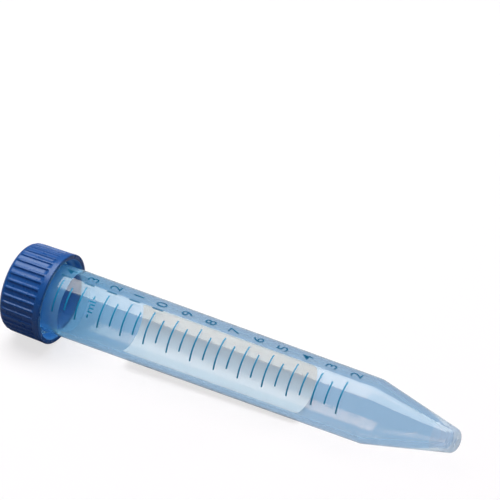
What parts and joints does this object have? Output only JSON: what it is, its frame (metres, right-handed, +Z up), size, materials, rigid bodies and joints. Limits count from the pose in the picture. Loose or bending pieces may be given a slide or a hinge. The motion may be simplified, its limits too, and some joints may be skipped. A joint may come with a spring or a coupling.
{
  "type": "15 ml conical tube",
  "caption": "Slim clear blue-tinted screw-cap tube with a conical tip, printed volume scale and white writing patch, lying on its side.",
  "frame": {"origin": "bottom centre of the bounding box of the tube lying at rest, on the surface that it lies on", "axes": "+Z up; the tube's axis lies in the XZ plane with the tip towards +X and the cap towards -X, and rises 2.2 degrees towards the cap"},
  "size_m": [0.1204, 0.0228, 0.0228],
  "materials": {
    "tube": "clear, faintly blue, smooth moulded polypropylene",
    "cap": "deep blue satin moulded polyethylene"
  },
  "bodies": {
    "tube": {"tube": "tube"},
    "cap": {"screw_cap": "cap"}
  },
  "joints": [
    {"name": "cap_lift", "type": "slide", "parent": "tube", "child": "cap", "axis": [-0.9993, 0, 0.0383], "range_m": [0, 0.025]}
  ]
}
